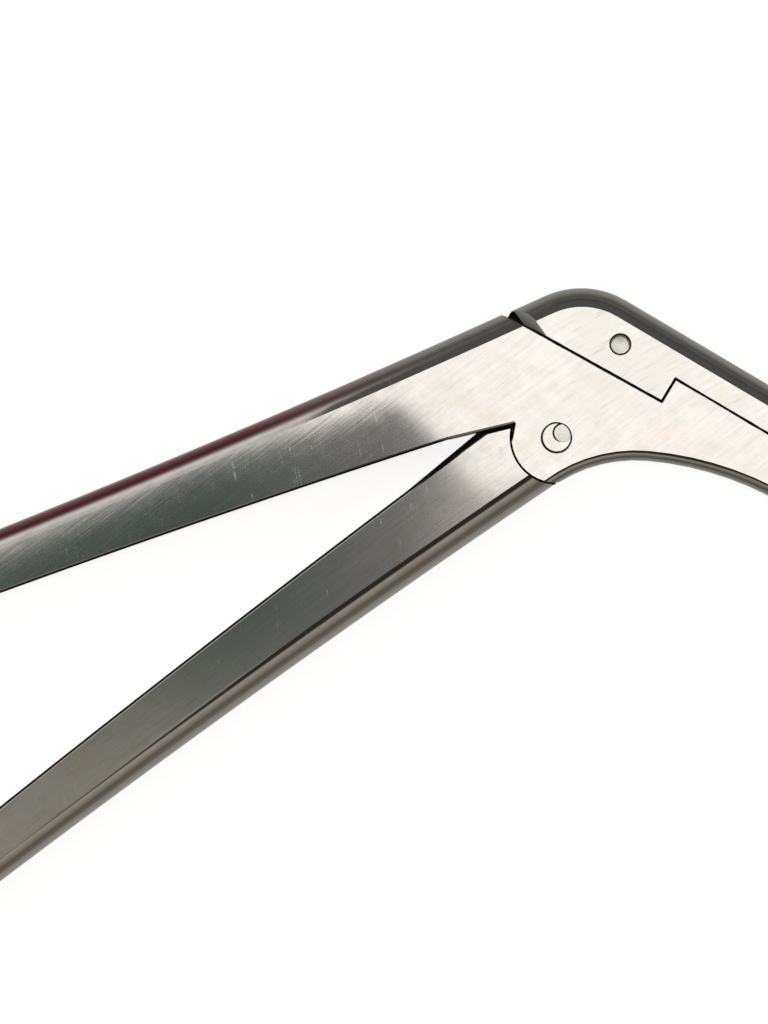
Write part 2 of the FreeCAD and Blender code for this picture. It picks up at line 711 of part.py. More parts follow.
def make_ring(label, prefix, outer_round):
    """A finger ring with the neck that carries on the handle, drawn about the ring's own centre."""
    body = new_body(label)
    side = 1 if prefix == "front" else -1
    heading = size(f"{prefix}_heading")
    along, up = direction(heading)
    reach = size("ring_reach")
    offset = size("ring_offset") * side
    body.setExpression("Placement.Base.x", (size(f"{prefix}_cut_x") + along * reach - up * offset).text)
    body.setExpression("Placement.Base.y", (size(f"{prefix}_cut_y") + up * reach + along * offset).text)
    body.Placement = FreeCAD.Placement(body.Placement.Base, FreeCAD.Rotation(Vector(0, 0, 1), 90))
    body.setExpression("Placement.Rotation.Angle", heading.text)

    bore = size("ring_bore_radius")
    wall = size("ring_wall")
    middle_radius = bore + wall / 2
    half = size("bar_width") / 2
    low, high = -offset - half, half - offset
    low_end = (-root(middle_radius * middle_radius - low * low), low)
    high_end = (-root(middle_radius * middle_radius - high * high), high)
    neck = new_sketch(body, f"{label}_neck", "XY_Plane")
    draw_loop(neck, [(-reach, low), low_end + (middle_radius, -1), high_end, (-reach, high)])
    add_pad(body, neck, THICKNESS)
    low_edge = [((-reach, low), low_end)]
    high_edge = [((-reach, high), high_end)]
    outer, inner = (high_edge, low_edge) if side > 0 else (low_edge, high_edge)
    round_edges(body, f"{label}_outer_rounding", outer, outer_round)
    round_edges(body, f"{label}_inner_rounding", inner, size("inner_edge_round"))

    curve = size("ring_round")
    outside = bore + wall
    section = new_sketch(body, f"{label}_section", "XZ_Plane")
    draw_loop(section, [
        (bore + curve, ZERO), (outside - curve, ZERO, curve, 1),
        (outside, curve), (outside, THICKNESS - curve, curve, 1),
        (outside - curve, THICKNESS), (bore + curve, THICKNESS, curve, 1),
        (bore, THICKNESS - curve), (bore, curve, curve, 1),
    ])
    add_turned(body, "Revolution", section, "V_Axis")
    return body


def make_slider():
    """Sliding upper shaft with the fork for the tang, two guide lugs and the fork for the jaw."""
    body = new_body("slider_bar")
    slope = direction(size("bend_angle"))
    bend = size("bend_radius")
    tangent = bend * slope[1] / (slope[0] + 1)
    bend_start = (
        size("bend_corner_x") - tangent * slope[0],
        size("slider_top") - tangent * slope[1],
    )
    bend_end = (size("bend_corner_x") + tangent, size("slider_top"))
    heel_low = (size("heel_x"), size("heel_seam"))
    heel_high = (size("heel_x"), bend_start[1] - (bend_start[0] - size("heel_x")) * slope[1] / slope[0])
    taper_top = (size("taper_start"), size("slider_top"))
    end_top = (size("slider_end") - size("slider_lean"), size("tip_top"))
    top_radius = -tangent_radius(taper_top, end_top, ALONG)
    top = split_arc("slider_taper", end_top, taper_top, top_radius, 1)
    outline = new_sketch(body, "slider_outline", "XY_Plane")
    draw_loop(outline, [
        heel_low,
        (size("step_x"), size("step_seam")),
        (size("step_x"), size("front_seam")),
        (size("slider_end"), size("front_seam")),
        *top,
        taper_top,
        bend_end + (bend, 1),
        bend_start,
        heel_high,
    ])
    add_pad(body, outline, THICKNESS)
    taper_sides(body)
    back = [(heel_high, bend_start), (bend_start, bend_end), (bend_end, taper_top)]
    back += pairs_along(top, taper_top)
    round_edges(body, "slider_back_rounding", back, size("back_round"))

    bevel_rear_tip(body)
    gap = size("swing_gap")
    spare = size("overrun")
    room = size("tang_end_radius") + gap + size("fork_room")
    roof = size("drive_y") + size("drive_play") + size("tang_end_radius") + gap
    fork = rectangle(size("drive_x") - room, size("heel_seam") - spare, size("drive_x") + room, roof)
    cut_leaf_slot(body, "tang_fork", fork, slot_width)
    cut_hole(body, "drive_pin_hole", drive_pin, size("drive_radius") + size("seat_clearance"))
    fork_rear = size("jaw_pivot_x") - size("tab_radius")
    fork = rectangle(
        fork_rear, size("front_seam") - spare, size("slider_end") + spare, size("slider_top") + spare,
    )
    cut_leaf_slot(body, "jaw_fork", fork, tab_slot_width)
    cut_hole(body, "link_pin_hole", link_pin, size("link_radius") + size("seat_clearance"))
    shoulder = size("front_seam") - size("lug_neck_depth")
    inside = size("front_seam") + size("leaf_gap") * 3
    for place in ("rear", "front"):
        middle = size(f"{place}_lug_x") + size("lug_length") / 2
        lug = new_sketch(body, f"{place}_lug", "YZ_Plane", (ZERO, ZERO, middle))
        bottom = shoulder - size("lug_head_depth")
        draw_loop(lug, guide_profile(size("lug_neck"), size("lug_head"), inside, shoulder, bottom))
        add_pad(body, lug, size("lug_length"), centred=True)
    return body


def bevel_rear_tip(body):
    """Bevels the lower edge of both side faces below the slider's rear tip."""
    start = (size("bevel_start_x"), size("bevel_start_y"))
    end_x = size("bevel_end_x")
    underside = size("heel_seam")
    slope = (start[1] - underside) / (end_x - start[0])
    behind = size("heel_x") - size("back_round") * 2
    below = underside - size("back_round") * 2
    ahead = end_x + (underside - below) / slope
    for place, height, backwards in (("near", THICKNESS, False), ("far", ZERO, True)):
        sketch = new_sketch(body, f"{place}_bevel", "XY_Plane", (ZERO, ZERO, height))
        draw_loop(sketch, [
            (behind, below), (ahead, below), (behind, start[1] + (start[0] - behind) * slope),
        ])
        feature = body.newObject("PartDesign::Pocket", f"{place}_bevel_cut")
        feature.Profile = sketch
        feature.Reversed = backwards
        feature.setExpression("Length", size("bevel_depth").text)
        feature.setExpression("TaperAngle", (-size("bevel_slope")).text)


def make_upper_jaw():
    """Hinged jaw with a spoon, and the tab that holds it to the shaft and to the slider."""
    body = new_body("upper_jaw")
    rear_low = (jaw_rear, upper_bite)
    rear_high = (jaw_rear + size("jaw_lean"), bite_height + size("upper_root_rise"))
    nose_low = (size("jaw_end"), upper_bite)
    nose_high = (size("jaw_end"), bite_height + size("upper_nose_rise"))
    outline = new_sketch(body, "jaw_outline", "XY_Plane")
    draw_loop(outline, [rear_low, nose_low, nose_high + (size("upper_jaw_radius"), 1), rear_high])
    add_pad(body, outline, THICKNESS)
    taper_sides(body)
    round_edges(body, "upper_nose_rounding", [(nose_low, nose_high)], size("nose_round"))
    slack = size("nose_round").number * 1.2
    round_edges(body, "jaw_top_rounding", [(rear_high, nose_high)], size("jaw_round"), slack)
    cut_cup(body, "upper_cup", size("cup_radius"))

    along, up = link_heading
    end = size("tab_radius")
    under = direction(-size("tab_under_angle"))
    tab = new_sketch(body, "tab_outline", "XY_Plane", (ZERO, ZERO, MIDDLE))
    draw_loop(tab, [
        (jaw_pivot[0] - up * end, jaw_pivot[1] + along * end),
        (link_pin[0] - up * end, link_pin[1] + along * end, end, -1),
        (link_pin[0] + along * end, link_pin[1] + up * end),
        (tab_front_x, bite_height + size("tab_front_rise")),
        (tab_front_x, upper_bite),
        (jaw_pivot[0] + under[0] * end, jaw_pivot[1] + under[1] * end, end, -1),
    ])
    add_pad(body, tab, size("tab_thickness"), centred=True)
    cut_hole(body, "tab_pivot_hole", jaw_pivot, size("jaw_pivot_radius") + size("turn_clearance"))
    slot = new_sketch(body, "link_slot", "XY_Plane", (ZERO, ZERO, MIDDLE))
    width = size("link_radius") + size("drive_side_play")
    draw_slot(slot, link_pin, (-along, -up), size("link_play"), width)
    add_cut(body, slot, THICKNESS)
    return body


def make_pin(label, centre, radius, low, high, dome=None):
    """A headless pin with broken edges, and with a slight dome on its near end where one is given."""
    body = new_body(label)
    body.setExpression("Placement.Base.x", centre[0].text)
    body.setExpression("Placement.Base.y", centre[1].text)
    edge = size("edge_break")
    rim = high - dome if dome else high
    flat = radius - edge
    crown = (flat, rim)
    if dome:
        crown = (flat, rim, (flat * flat + dome * dome) / (dome * 2), 1)
    profile = new_sketch(body, f"{label}_profile", "XZ_Plane")
    draw_loop(profile, [
        (ZERO, low), (flat, low), (radius, low + edge), (radius, rim - edge), crown, (ZERO, high),
    ])
    add_turned(body, "Revolution", profile, "V_Axis")
    return body


def make_pivot_pin():
    """Handle pivot, flush with both side faces, with a slanting shallow recess in its near end."""
    body = make_pin("handle_pivot_pin", PIVOT, size("pivot_radius"), ZERO, THICKNESS)
    recess = new_sketch(body, "pin_recess", "XY_Plane", (size("dimple_x"), size("dimple_y"), THICKNESS))
    along, up = direction(size("dimple_heading"))
    axis = Vector(-up.number, along.number, 0)
    base = recess.AttachmentOffset.Base
    recess.AttachmentOffset = FreeCAD.Placement(base, FreeCAD.Rotation(axis, size("dimple_tilt").number))
    recess.setExpression("AttachmentOffset.Rotation.Angle", size("dimple_tilt").text)
    draw_circle(recess, (ZERO, ZERO), size("dimple_radius"))
    add_cut(body, recess, size("dimple_depth"))
    return body


def make_shank_pin(label, centre, radius):
    """A pin across the tapered part of the shank, as long as the shank is thick there."""
    sunk = side_draw(centre[0]) + size("seat_clearance")
    return make_pin(label, centre, radius, sunk, THICKNESS - sunk, size("drive_dome"))


jaw_rear = size("slider_end") + size("jaw_gap")
tab_front_x = jaw_rear + size("tab_overlap")

sub_parts = [
    make_frame(),
    make_ring("thumb_ring", "rear", size("back_round")),
    make_front_handle(),
    make_ring("finger_ring", "front", size("outer_round")),
    make_slider(),
    make_upper_jaw(),
    make_pivot_pin(),
    make_pin("slider_drive_pin", drive_pin, size("drive_radius"), size("seat_clearance"),
             THICKNESS, size("drive_dome")),
    make_shank_pin("jaw_pivot_pin", jaw_pivot, size("jaw_pivot_radius")),
    make_shank_pin("jaw_link_pin", link_pin, size("link_radius")),
]
document.recompute()

for item in document.Objects:
    if "Invalid" in item.State or "Error" in item.State:
        raise RuntimeError(f"{item.Name}: {item.State}")
for piece in sub_parts:
    if piece.Shape.isNull() or not piece.Shape.isValid() or len(piece.Shape.Solids) != 1:
        raise RuntimeError(f"{piece.Label}: not one valid solid")

os.makedirs("parts", exist_ok=True)
for piece in sub_parts:
    piece.Shape.exportStep(f"parts/{piece.Label}.step")
    print(piece.Label, round(piece.Shape.Volume, 2), piece.Shape.BoundBox)
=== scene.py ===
"""Looks of the bone rongeur: brushed steel on a plain pale floor, seen from straight above."""

import bpy
import json
import math
from collections import namedtuple
from mathutils import Vector
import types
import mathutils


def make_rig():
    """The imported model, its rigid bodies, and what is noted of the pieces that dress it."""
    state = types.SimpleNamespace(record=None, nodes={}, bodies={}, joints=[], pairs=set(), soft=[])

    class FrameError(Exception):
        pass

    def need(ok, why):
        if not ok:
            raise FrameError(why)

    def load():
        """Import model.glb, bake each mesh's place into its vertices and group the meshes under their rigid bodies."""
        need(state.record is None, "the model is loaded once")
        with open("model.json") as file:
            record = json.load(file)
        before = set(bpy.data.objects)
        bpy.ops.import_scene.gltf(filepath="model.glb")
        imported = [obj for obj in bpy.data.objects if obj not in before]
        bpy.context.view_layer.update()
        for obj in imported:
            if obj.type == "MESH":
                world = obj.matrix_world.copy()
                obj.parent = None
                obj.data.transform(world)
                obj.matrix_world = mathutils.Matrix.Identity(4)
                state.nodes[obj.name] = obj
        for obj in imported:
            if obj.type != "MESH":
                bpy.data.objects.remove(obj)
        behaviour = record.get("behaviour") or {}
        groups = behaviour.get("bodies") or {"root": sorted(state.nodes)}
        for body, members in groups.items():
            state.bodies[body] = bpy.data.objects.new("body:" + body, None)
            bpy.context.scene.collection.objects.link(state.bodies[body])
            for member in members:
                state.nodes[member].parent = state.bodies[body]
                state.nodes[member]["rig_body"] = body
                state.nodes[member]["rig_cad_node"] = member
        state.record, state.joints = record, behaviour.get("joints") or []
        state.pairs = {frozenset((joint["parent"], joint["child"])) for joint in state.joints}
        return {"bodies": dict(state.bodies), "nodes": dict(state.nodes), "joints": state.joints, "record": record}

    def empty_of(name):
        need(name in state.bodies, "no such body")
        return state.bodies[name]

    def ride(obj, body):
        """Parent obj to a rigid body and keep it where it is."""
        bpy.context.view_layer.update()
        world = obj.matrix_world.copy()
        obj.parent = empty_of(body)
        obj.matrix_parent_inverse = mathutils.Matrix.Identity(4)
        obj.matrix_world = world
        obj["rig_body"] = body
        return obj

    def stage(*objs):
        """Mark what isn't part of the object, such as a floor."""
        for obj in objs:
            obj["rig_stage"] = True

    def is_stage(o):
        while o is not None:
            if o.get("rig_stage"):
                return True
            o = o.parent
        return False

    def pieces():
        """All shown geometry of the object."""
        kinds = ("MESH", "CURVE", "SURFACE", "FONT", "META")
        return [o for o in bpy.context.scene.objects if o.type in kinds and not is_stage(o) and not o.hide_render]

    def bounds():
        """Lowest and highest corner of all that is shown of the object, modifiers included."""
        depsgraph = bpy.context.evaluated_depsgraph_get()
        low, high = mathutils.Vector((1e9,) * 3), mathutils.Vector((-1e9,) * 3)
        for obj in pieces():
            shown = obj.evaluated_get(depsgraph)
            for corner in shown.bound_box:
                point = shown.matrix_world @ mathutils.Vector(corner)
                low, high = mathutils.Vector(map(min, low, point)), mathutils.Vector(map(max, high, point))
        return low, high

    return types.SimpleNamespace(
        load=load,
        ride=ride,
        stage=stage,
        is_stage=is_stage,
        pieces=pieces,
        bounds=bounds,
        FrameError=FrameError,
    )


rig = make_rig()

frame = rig.load()
nodes = frame["nodes"]
start_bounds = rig.bounds()

scene = bpy.context.scene
scene.view_settings.view_transform = "Standard"

MM = 0.001


def edge_of(name, axis, end):
    """The lowest (min) or highest (max) place of a node along an axis, in metres."""
    return end(corner[axis] for corner in nodes[name].bound_box)


def middle_of(name):
    """The middle of a node in the side view, in millimetres."""
    return tuple((edge_of(name, axis, min) + edge_of(name, axis, max)) / 2 / MM for axis in (0, 1))


def radius_of(name):
    """The radius of a pin, in millimetres."""
    return (edge_of(name, 0, max) - edge_of(name, 0, min)) / 2 / MM


THICKNESS = edge_of("body_frame", 2, max)

# Camera: straight down, turned so that the shank points to the lower right as in the photograph

PHOTO_TURN = math.radians(30.6)
CAMERA_HEIGHT = 0.36
VIEW_HEIGHT = 0.1024
SENSOR = 36.0
NEAREST_SEEN = 0.01
VIEW_CENTRE = Vector((-11.07 * MM, -15.21 * MM, THICKNESS))
RIGHT = Vector((math.cos(PHOTO_TURN), math.sin(PHOTO_TURN), 0))
UP = Vector((-math.sin(PHOTO_TURN), math.cos(PHOTO_TURN), 0))

camera_data = bpy.data.cameras.new("camera")
camera_data.sensor_width = SENSOR
camera_data.lens = SENSOR * CAMERA_HEIGHT / VIEW_HEIGHT
camera_data.clip_start = NEAREST_SEEN
camera = bpy.data.objects.new("camera", camera_data)
camera.location = VIEW_CENTRE + Vector((0, 0, CAMERA_HEIGHT))
camera.rotation_euler = (0, 0, PHOTO_TURN)
scene.collection.objects.link(camera)
scene.camera = camera


def side(right, up):
    """A direction in the side view, from its shares to the right and upwards in the photograph."""
    return tuple((RIGHT * right + UP * up).to_2d())


# Node trees

class Tree:
    """Short ways to add nodes to a material or to the world."""

    def __init__(self, owner):
        owner.use_nodes = True
        self.nodes = owner.node_tree.nodes
        self.links = owner.node_tree.links
        self.nodes.clear()

    def add(self, kind, **settings):
        node = self.nodes.new(kind)
        for key, value in settings.items():
            setattr(node, key, value)
        return node

    def join(self, source, target):
        self.links.new(source, target)

    def feed(self, slot, value):
        """Join a socket to the slot, or set a plain value on it."""
        if isinstance(value, (int, float, tuple)):
            slot.default_value = value
        else:
            self.join(value, slot)

    def math(self, operation, *values, clamp=False):
        node = self.add("ShaderNodeMath", operation=operation, use_clamp=clamp)
        for slot, value in zip(node.inputs, values):
            self.feed(slot, value)
        return node.outputs[0]

    def product(self, first, *others):
        for other in others:
            first = self.math("MULTIPLY", first, other)
        return first

    def vector(self, operation, *values, result="Vector"):
        node = self.add("ShaderNodeVectorMath", operation=operation)
        for slot, value in zip(node.inputs, values):
            self.feed(slot, value)
        return node.outputs[result]

    def share(self, vector, direction):
        """How much of a vector points along a direction."""
        return self.vector("DOT_PRODUCT", vector, tuple(direction), result="Value")

    def parts(self, vector):
        node = self.add("ShaderNodeSeparateXYZ")
        self.join(vector, node.inputs[0])
        return node.outputs

    def noise(self, vector, scale, detail, rough):
        node = self.add("ShaderNodeTexNoise")
        node.inputs["Scale"].default_value = scale
        node.inputs["Detail"].default_value = detail
        node.inputs["Roughness"].default_value = rough
        self.join(vector, node.inputs["Vector"])
        return node.outputs["Fac"]

    def streaks(self, vector, scale, detail, rough, shift, turn=0.0):
        """Noise with its own scale along each axis, so that it is drawn out into lines."""
        return self.noise(self.mapped(vector, turn, scale, shift), 1.0, detail, rough)

    def mapped(self, vector, turn=0.0, scale=(1, 1, 1), shift=(0, 0, 0)):
        node = self.add("ShaderNodeMapping")
        node.inputs["Rotation"].default_value = (0, 0, turn)
        node.inputs["Scale"].default_value = scale
        node.inputs["Location"].default_value = shift
        self.join(vector, node.inputs["Vector"])
        return node.outputs["Vector"]

    def spread(self, value, low, high, to_low=0.0, to_high=1.0):
        """Map the stretch from low to high onto another one and stop at its ends."""
        node = self.add("ShaderNodeMapRange")
        node.inputs["From Min"].default_value = low
        node.inputs["From Max"].default_value = high
        node.inputs["To Min"].default_value = to_low
        node.inputs["To Max"].default_value = to_high
        self.join(value, node.inputs["Value"])
        return node.outputs["Result"]

    def blend(self, factor, a, b):
        """Colour a, or b where the factor is 1. A colour has three shares, or comes from a socket."""
        node = self.add("ShaderNodeMix", data_type="RGBA")
        factor_slot, a_slot, b_slot = node.inputs[0], node.inputs[6], node.inputs[7]
        self.feed(factor_slot, factor)
        self.feed(a_slot, solid(a))
        self.feed(b_slot, solid(b))
        return node.outputs[2]

    def bump(self, height, distance):
        node = self.add("ShaderNodeBump")
        node.inputs["Strength"].default_value = 1.0
        node.inputs["Distance"].default_value = distance
        self.join(height, node.inputs["Height"])
        return node.outputs["Normal"]

    def finish(self, shader, kind="ShaderNodeOutputMaterial"):
        self.join(shader, self.add(kind).inputs["Surface"])


def solid(colour):
    """A colour's three shares with full cover behind them. A socket stays as it is."""
    return (*colour, 1) if isinstance(colour, tuple) else colour


class Point:
    """What a material knows of the point it paints, in the part's own coordinates."""

    def __init__(self, tree):
        where = tree.add("ShaderNodeTexCoord")
        self.place = where.outputs["Object"]
        self.normal = where.outputs["Normal"]
        self.x, self.y, self.z = tree.parts(self.place)
        self.flat_place = tree.vector("MULTIPLY", self.place, (1, 1, 0))
        self.facing = tree.math("ABSOLUTE", tree.parts(self.normal)[2])


# Marks of painted shade in the side view, in millimetres: straight lines, and rings with their width inside and
# outside

Line = namedtuple("Line", "start end half_width")
Ring = namedtuple("Ring", "centre radius inside outside strength side")

PIVOT = middle_of("handle_pivot_pin")
PIVOT_RADIUS = radius_of("handle_pivot_pin")
DRIVE = middle_of("slider_drive_pin")
DRIVE_RADIUS = radius_of("slider_drive_pin")
RECESS = (0.27, 0.7)
RECESS_RADIUS = 0.92

SEAM_HALF_GAP = 0.1
SEAM_Y = edge_of("body_frame", 1, max) / MM + SEAM_HALF_GAP
HEEL = (-10.6, 7.95)
STEP_FOOT = (7.2, 8.43)
STEP_HEAD = (7.25, SEAM_Y)
SEAM_END = (edge_of("slider_bar", 0, max) / MM, SEAM_Y)
SEAMS = (Line(HEEL, STEP_FOOT, 0.17), Line(STEP_FOOT, STEP_HEAD, 0.16), Line(STEP_HEAD, SEAM_END, 0.16))
NOTCH_WALL = Line((-4.32, -0.95), (-3.75, -2.5), 0.14)

PIN_LOW_LEFT = side(-0.6, -0.8)
PIN_TOP = side(0.2, 0.98)
RECESS_LEFT = side(-0.95, 0.3)
PIVOT_RING = Ring(PIVOT, PIVOT_RADIUS, 0.08, 0.08, 0.85, None)
PIVOT_SHADE = Ring(PIVOT, PIVOT_RADIUS, 0.02, 0.14, 0.9, PIN_LOW_LEFT)
DRIVE_RING = Ring(DRIVE, DRIVE_RADIUS, 0.08, 0.08, 0.8, None)
DRIVE_SHADE = Ring(DRIVE, DRIVE_RADIUS, 0.3, 0.08, 0.6, PIN_TOP)
RECESS_RING = Ring(RECESS, RECESS_RADIUS, 0.05, 0.03, 0.6, None)
RECESS_SHADE = Ring(RECESS, RECESS_RADIUS, 0.1, 0.12, 1.0, RECESS_LEFT)

LINE_FADE = 0.06
RING_FADE = 0.05
RAGGEDNESS = 0.03

# A one-sided ring fades in between these shares of its radius, measured towards its side

SIDE_FADE = (-0.2, 0.6)


def near_line(tree, point, line):
    """Distance from a line in the side view."""
    start = Vector((*line.start, 0)) * MM
    run = Vector((*line.end, 0)) * MM - start
    away = tree.vector("SUBTRACT", point.flat_place, tuple(start))
    along = tree.math("ADD", tree.share(away, run / run.length_squared), 0.0, clamp=True)
    foot = tree.add("ShaderNodeVectorMath", operation="SCALE")
    foot.inputs[0].default_value = run
    tree.join(along, foot.inputs["Scale"])
    away = tree.vector("SUBTRACT", away, foot.outputs[0])
    return tree.vector("LENGTH", away, result="Value")


def line_mark(tree, point, line, ragged):
    """1 on a line's width, fading out at its edges."""
    away = tree.math("ADD", near_line(tree, point, line), ragged)
    return tree.spread(away, line.half_width * MM, (line.half_width - LINE_FADE) * MM)


def ring_mark(tree, point, ring, ragged):
    """The strength of a ring, all round or on one side of its centre only."""
    from_centre = tree.vector("SUBTRACT", point.flat_place, tuple(Vector((*ring.centre, 0)) * MM))
    away = tree.math("SUBTRACT", tree.vector("LENGTH", from_centre, result="Value"), ring.radius * MM)
    away = tree.math("ADD", away, ragged)
    mark = tree.product(
        tree.spread(away, -ring.inside * MM, (RING_FADE - ring.inside) * MM),
        tree.spread(away, ring.outside * MM, (ring.outside - RING_FADE) * MM),
        ring.strength,
    )
    if ring.side is None:
        return mark
    towards_side = tree.share(from_centre, (*ring.side, 0))
    fade_start, fade_end = (share * ring.radius * MM for share in SIDE_FADE)
    return tree.product(mark, tree.spread(towards_side, fade_start, fade_end))


# How a surface faces: 1 on a side face and 0 on an upright wall. Each pair says where a mark starts
# and where it is full.

ROUNDING = (0.97, 0.84)
ABOVE_WALL = (0.02, 0.14)
SLOT_FACES = (0.7, 0.8)

# Distance from the plane midway between the side faces, outside and inside the slots

SLOT_DEPTH = (1.95 * MM, 1.85 * MM)

# Noise, in waves per metre: lines have a scale along the grain and one across it. The two turns are in
# radians from the grain.

FINE_LINES = (500, 6500, 6500)
COARSE_LINES = (110, 2600, 2600)
SCORE_LINES = (260, 2400, 2400)
HAIR_LINES = (22, 800, 800)
MOTTLE_SCALE = 700.0
CLOUD_SCALE = 150.0
STAIN_SCALE = 110.0
LUMP_SCALE = 1500.0
SCORE_TURN = 0.2
CROSS_TURN = math.radians(64)

# Stretches of a noise's values, and how strong a mark gets at the strong end of its stretch

MOST = (0.3, 0.7)
MOTTLE_RANGE = (0.35, 0.65)
PATINA_RANGE = (0.42, 0.7)
STAIN_RANGE = (0.55, 0.75)
SCORE_RANGE = (0.6, 0.72)
SCORE_PATCHES = (0.45, 0.6)
HAIR_BREAKS = (0.52, 0.62)
HAIR_WIDTH = 0.005
COARSE_SHARE = 0.4
FINE_SHARE = 0.3
MOTTLE_SHARE = 0.4
PATINA_SHARE = 0.7
STAIN_SHARE = 0.45
SCORE_SHARE = 0.55
HAIR_SHARE = 0.45
ROUNDING_SHADE_SHARE = 0.95

# Changes of roughness, and the relief: shares of its noises and its depth in metres

ROUGHNESS_BELOW = 0.008
ROUGHNESS_ABOVE = 0.012
HAIR_ROUGHNESS = 0.3
ROUNDING_ROUGHNESS = 0.3
PAINTED_SHADE_ROUGHNESS = 0.4
FINE_RELIEF = 0.5
CLOUD_RELIEF = 5.0
RELIEF = 0.45e-6

# Colours

BASE = (0.75, 0.735, 0.715)
DULL = (0.59, 0.575, 0.555)
PATINA = (0.62, 0.635, 0.605)
PIN_BRIGHT = (0.9, 0.86, 0.82)
PIN_DULL = (0.85, 0.77, 0.7)
# Painted shade, in brown, for the roundings of the small pins
PIN_ROUNDING_SHADE = (0.55, 0.48, 0.41)
BRIGHT_SCRATCH = (0.9, 0.89, 0.87)
# Painted shade: the dark base colours of the roundings
ROUNDING_SHADE = (0.17, 0.158, 0.145)
HANDLE_ROUNDING_SHADE = (0.2, 0.185, 0.165)
# Painted reflection: the dull red mirrored on the rear handle's back
RED_REFLECTION = (0.13, 0.028, 0.035)
STAIN = (0.62, 0.52, 0.41)
# Painted highlight on the slanting floor of the pin's recess
RECESS_HIGHLIGHT = (1.0, 0.97, 0.9)
# Painted light: a pale colour for the matt bevel below the slider's rear tip
BEVEL_PAINTED_LIGHT = (0.8, 0.78, 0.72)
SCORE = (0.4, 0.38, 0.36)
# Painted shade: near black, for the slots, seams, pin rings, inner edges and the dark seam slabs
PAINTED_SHADE = (0.012, 0.009, 0.007)


def hair_scratches(tree, point, grain, mottle):
    """Single bright scratches across the grain, broken up by the mottling."""
    across = tree.mapped(point.place, turn=-grain - CROSS_TURN, shift=(0.3, 0.1, 0.2))
    hair = tree.streaks(across, HAIR_LINES, detail=1.0, rough=0.4, shift=(7, 3, 1))
    hair = tree.math("ABSOLUTE", tree.math("SUBTRACT", hair, 0.5))
    hair = tree.spread(hair, 0.0, HAIR_WIDTH, HAIR_SHARE, 0.0)
    return tree.math("MULTIPLY", hair, tree.spread(mottle, *HAIR_BREAKS), clamp=True)


def grey_scores(tree, along, cloud):
    """Short grey scores, nearly along the grain, in patches."""
    score = tree.streaks(along, SCORE_LINES, detail=2.0, rough=0.6, shift=(5, 2, 4), turn=SCORE_TURN)
    score = tree.spread(score, *SCORE_RANGE, 0.0, SCORE_SHARE)
    return tree.math("MULTIPLY", score, tree.spread(cloud, *SCORE_PATCHES), clamp=True)


def painted_shade_mark(tree, point, mottle, lines, rings, dark_edge):
    """Painted shade: inside the slots, in the seams, round the pins and on an inner edge."""
    depth = tree.math("ABSOLUTE", tree.math("SUBTRACT", point.z, THICKNESS / 2))
    mark = tree.product(tree.spread(depth, *SLOT_DEPTH), tree.spread(point.facing, *SLOT_FACES))
    ragged = tree.spread(mottle, *MOST, -RAGGEDNESS * MM, RAGGEDNESS * MM)
    for line in lines:
        mark = tree.math("MAXIMUM", mark, line_mark(tree, point, line, ragged))
    for ring in rings:
        mark = tree.math("MAXIMUM", mark, ring_mark(tree, point, ring, ragged))
    if dark_edge is not None:
        mark = tree.math("MAXIMUM", mark, dark_edge(tree, point))
    return mark


